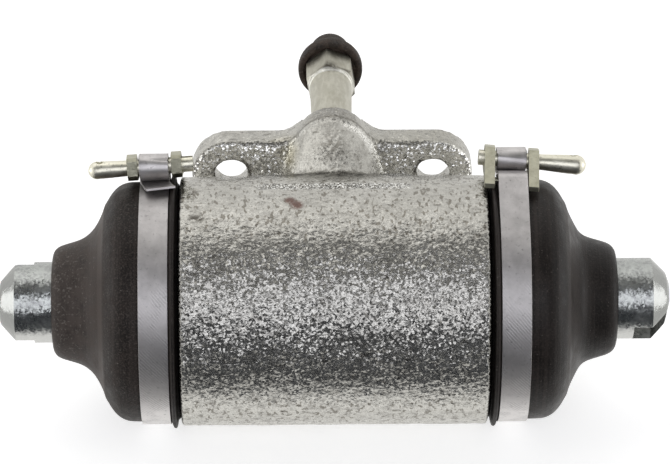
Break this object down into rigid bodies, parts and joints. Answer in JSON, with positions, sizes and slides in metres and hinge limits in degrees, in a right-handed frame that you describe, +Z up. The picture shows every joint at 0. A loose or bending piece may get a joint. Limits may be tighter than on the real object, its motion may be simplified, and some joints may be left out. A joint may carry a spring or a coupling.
{
  "type": "brake wheel cylinder",
  "caption": "Cast wheel cylinder for a drum brake: opposed pistons with slotted push rods, rubber boots with band clamps, a bleed screw under a cap and a bolted rear flange.",
  "frame": {"origin": "mouth of the inlet port, in the middle of the flat mounting face behind the cylinder", "axes": "+X along the cylinder from the left push rod to the right one, +Y out of the mounting face, +Z up from the cylinder axis towards the bleed screw"},
  "size_m": [0.144, 0.0967, 0.0604],
  "materials": {
    "cast_zinc": "rough cast, zinc plated",
    "piston_metal": "turned",
    "cup_rubber": "moulded",
    "expander_steel": "pressed, plated",
    "spring_steel": "drawn wire",
    "rod_zinc": "turned, zinc plated",
    "boot_rubber": "matt moulded",
    "band_steel": "rolled strip, scratched",
    "yoke_zinc": "pressed, zinc plated",
    "screw_zinc": "matt zinc plated",
    "cap_rubber": "matt moulded"
  },
  "bodies": {
    "cylinder": {"cylinder_body": "cast_zinc", "left_boot": "boot_rubber", "right_boot": "boot_rubber", "left_clamp_band": "band_steel", "right_clamp_band": "band_steel", "left_clamp_yoke": "yoke_zinc", "right_clamp_yoke": "yoke_zinc", "left_clamp_pin": "yoke_zinc", "right_clamp_pin": "yoke_zinc", "return_spring": "spring_steel"},
    "left_piston": {"left_piston": "piston_metal", "left_cup": "cup_rubber", "left_cup_expander": "expander_steel"},
    "right_piston": {"right_piston": "piston_metal", "right_cup": "cup_rubber", "right_cup_expander": "expander_steel"},
    "left_pushrod": {"left_pushrod": "rod_zinc"},
    "right_pushrod": {"right_pushrod": "rod_zinc"},
    "bleed_screw": {"bleed_screw": "screw_zinc"},
    "bleed_cap": {"bleed_cap": "cap_rubber"}
  },
  "joints": [
    {"name": "left_piston_slide", "type": "slide", "parent": "cylinder", "child": "left_piston", "axis": [-1, 0, 0], "range_m": [-0.003, 0.008], "deforming": ["left_boot", "return_spring"]},
    {"name": "right_piston_slide", "type": "slide", "parent": "cylinder", "child": "right_piston", "axis": [1, 0, 0], "range_m": [-0.003, 0.008], "deforming": ["right_boot", "return_spring"]},
    {"name": "left_pushrod_turn", "type": "hinge", "parent": "left_piston", "child": "left_pushrod", "pos_m": [-0.045, -0.0285, 0], "axis": [-1, 0, 0], "continuous": true},
    {"name": "right_pushrod_turn", "type": "hinge", "parent": "right_piston", "child": "right_pushrod", "pos_m": [0.045, -0.0285, 0], "axis": [1, 0, 0], "continuous": true},
    {"name": "bleed_screw_turn", "type": "hinge", "parent": "cylinder", "child": "bleed_screw", "pos_m": [0, 0, 0.0247], "axis": [0, -1, 0], "range_deg": [0, 360]},
    {"name": "bleed_cap_pull", "type": "slide", "parent": "bleed_screw", "child": "bleed_cap", "axis": [0, 1, 0], "range_m": [0, 0.016]}
  ]
}
